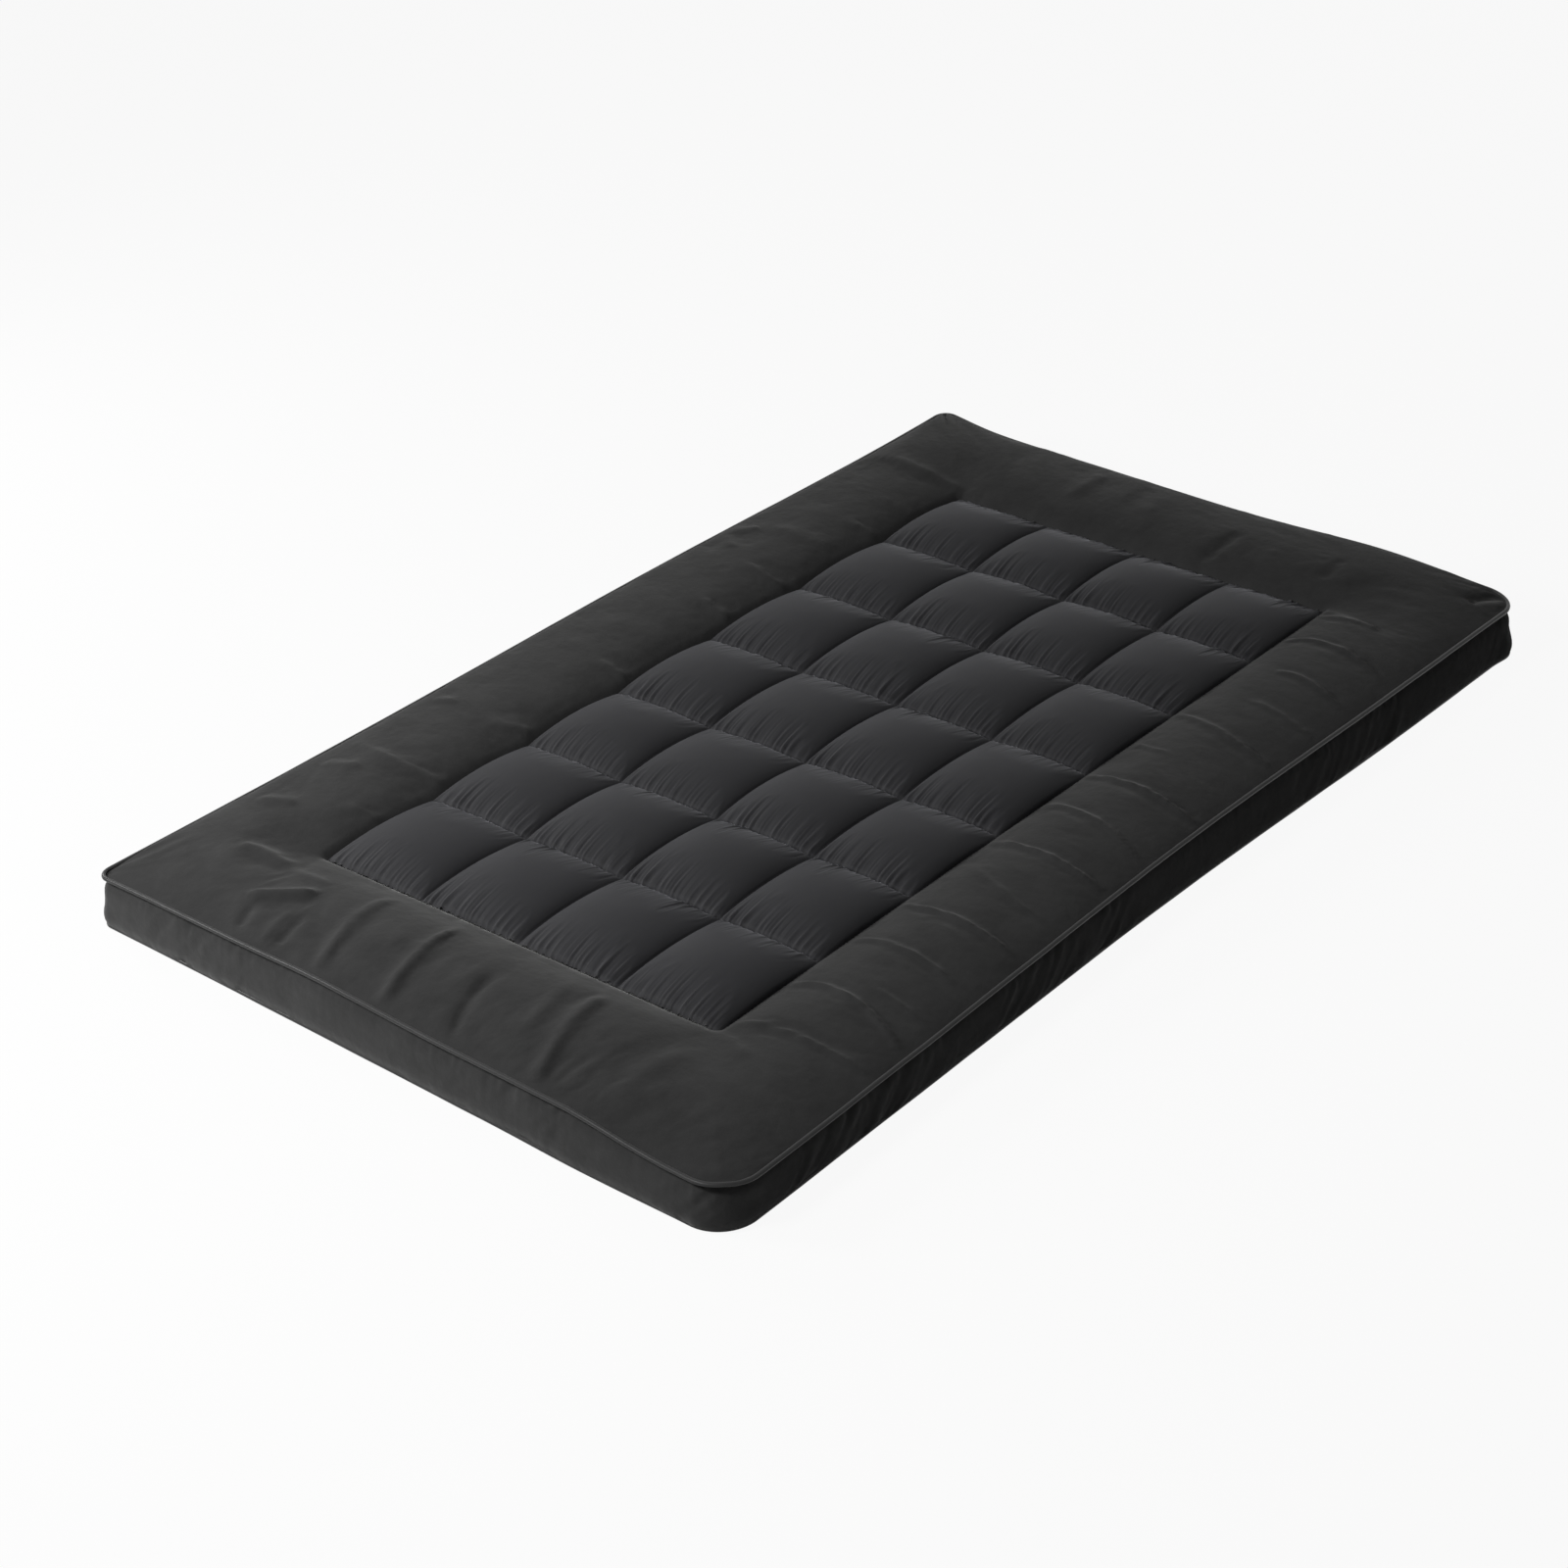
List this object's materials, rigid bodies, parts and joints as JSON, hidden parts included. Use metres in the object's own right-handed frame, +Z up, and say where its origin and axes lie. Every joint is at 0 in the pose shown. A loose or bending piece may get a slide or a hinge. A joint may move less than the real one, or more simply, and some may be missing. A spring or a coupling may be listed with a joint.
{
  "type": "futon mattress",
  "caption": "Black tri-fold futon mattress with a tufted quilted top, wide plain border, boxed sides and piped edges.",
  "frame": {"origin": "centre of the underside, where the bottom sheet rests on the floor or slats", "axes": "+Z up out of the quilted top, +Y along the length from the foot end to the head end, +X across the width"},
  "size_m": [1.177, 2.007, 0.1],
  "materials": {
    "quilt_fabric": "black cotton-polyester sateen with a soft cool sheen",
    "cover_fabric": "black brushed cotton-polyester twill, matte",
    "piping_fabric": "black bias-cut twill over a cord",
    "piping_cord": "undyed twisted cotton filler cord",
    "fibre_fill": "white polyester and cotton fibre batting",
    "backing_sheet": "white spun-bonded non-woven sheet",
    "foam": "open-cell cream polyurethane foam",
    "quilting_thread": "black bonded polyester thread"
  },
  "bodies": {
    "foot": {"quilted_panel_foot": "quilt_fabric", "top_border_foot": "cover_fabric", "side_band_foot": "cover_fabric", "bottom_sheet_foot": "cover_fabric", "top_piping_cover_foot": "piping_fabric", "bottom_piping_cover_foot": "piping_fabric", "top_piping_cord_foot": "piping_cord", "bottom_piping_cord_foot": "piping_cord", "top_fibre_pad_foot": "fibre_fill", "bottom_fibre_pad_foot": "fibre_fill", "quilting_backing_foot": "backing_sheet", "foam_core_foot": "foam", "quilting_stitches_foot": "quilting_thread"},
    "middle": {"quilted_panel_middle": "quilt_fabric", "top_border_middle": "cover_fabric", "side_band_middle": "cover_fabric", "bottom_sheet_middle": "cover_fabric", "top_piping_cover_middle": "piping_fabric", "bottom_piping_cover_middle": "piping_fabric", "top_piping_cord_middle": "piping_cord", "bottom_piping_cord_middle": "piping_cord", "top_fibre_pad_middle": "fibre_fill", "bottom_fibre_pad_middle": "fibre_fill", "quilting_backing_middle": "backing_sheet", "foam_core_middle": "foam", "quilting_stitches_middle": "quilting_thread"},
    "head": {"quilted_panel_head": "quilt_fabric", "top_border_head": "cover_fabric", "side_band_head": "cover_fabric", "bottom_sheet_head": "cover_fabric", "top_piping_cover_head": "piping_fabric", "bottom_piping_cover_head": "piping_fabric", "top_piping_cord_head": "piping_cord", "bottom_piping_cord_head": "piping_cord", "top_fibre_pad_head": "fibre_fill", "bottom_fibre_pad_head": "fibre_fill", "quilting_backing_head": "backing_sheet", "foam_core_head": "foam", "quilting_stitches_head": "quilting_thread"}
  },
  "joints": [
    {"name": "foot_fold", "type": "hinge", "parent": "foot", "child": "middle", "pos_m": [0, -0.3255, 0.1005], "axis": [1, 0, 0], "range_deg": [0, 180]},
    {"name": "head_fold", "type": "hinge", "parent": "middle", "child": "head", "pos_m": [0, 0.3255, -0.0005], "axis": [1, 0, 0], "range_deg": [-180, 0]}
  ],
  "couplings": [
    {"joint": "head_fold", "follows": "foot_fold", "ratio": -1}
  ]
}
